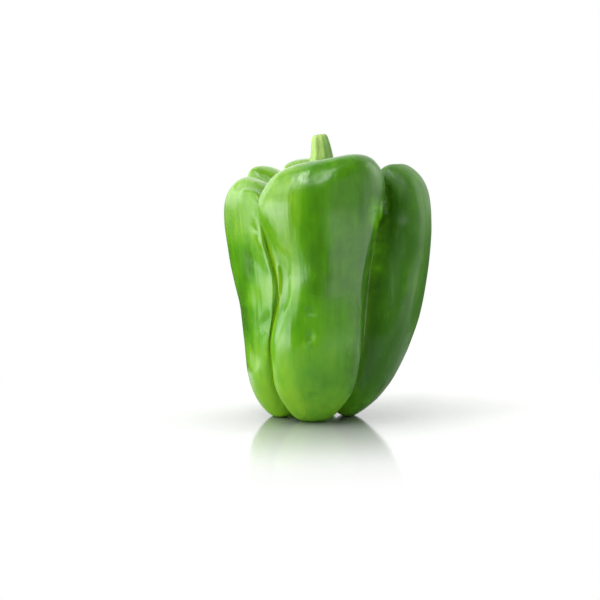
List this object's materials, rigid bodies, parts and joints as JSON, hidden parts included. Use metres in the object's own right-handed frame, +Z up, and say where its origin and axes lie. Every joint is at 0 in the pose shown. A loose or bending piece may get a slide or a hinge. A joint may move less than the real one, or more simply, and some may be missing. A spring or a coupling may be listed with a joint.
{
  "type": "bell pepper",
  "caption": "Whole green bell pepper standing on its lobes: a blocky glossy fruit with deep grooves, a hollow at the top, a pointed calyx collar and a short cut stem.",
  "frame": {"origin": "on the surface that the pepper stands on, under the middle of its bounding box", "axes": "+Z up along the fruit towards the stem, the widest lobe faces -Y, +X to its right seen from the front"},
  "size_m": [0.0798, 0.0768, 0.1084],
  "materials": {
    "fruit_skin": "smooth waxy skin, glossy",
    "calyx_green": "leathery, matt",
    "stem_green": "ridged stalk, matt"
  },
  "bodies": {
    "root": {"fruit": "fruit_skin", "calyx": "calyx_green", "stem": "stem_green"}
  },
  "joints": []
}
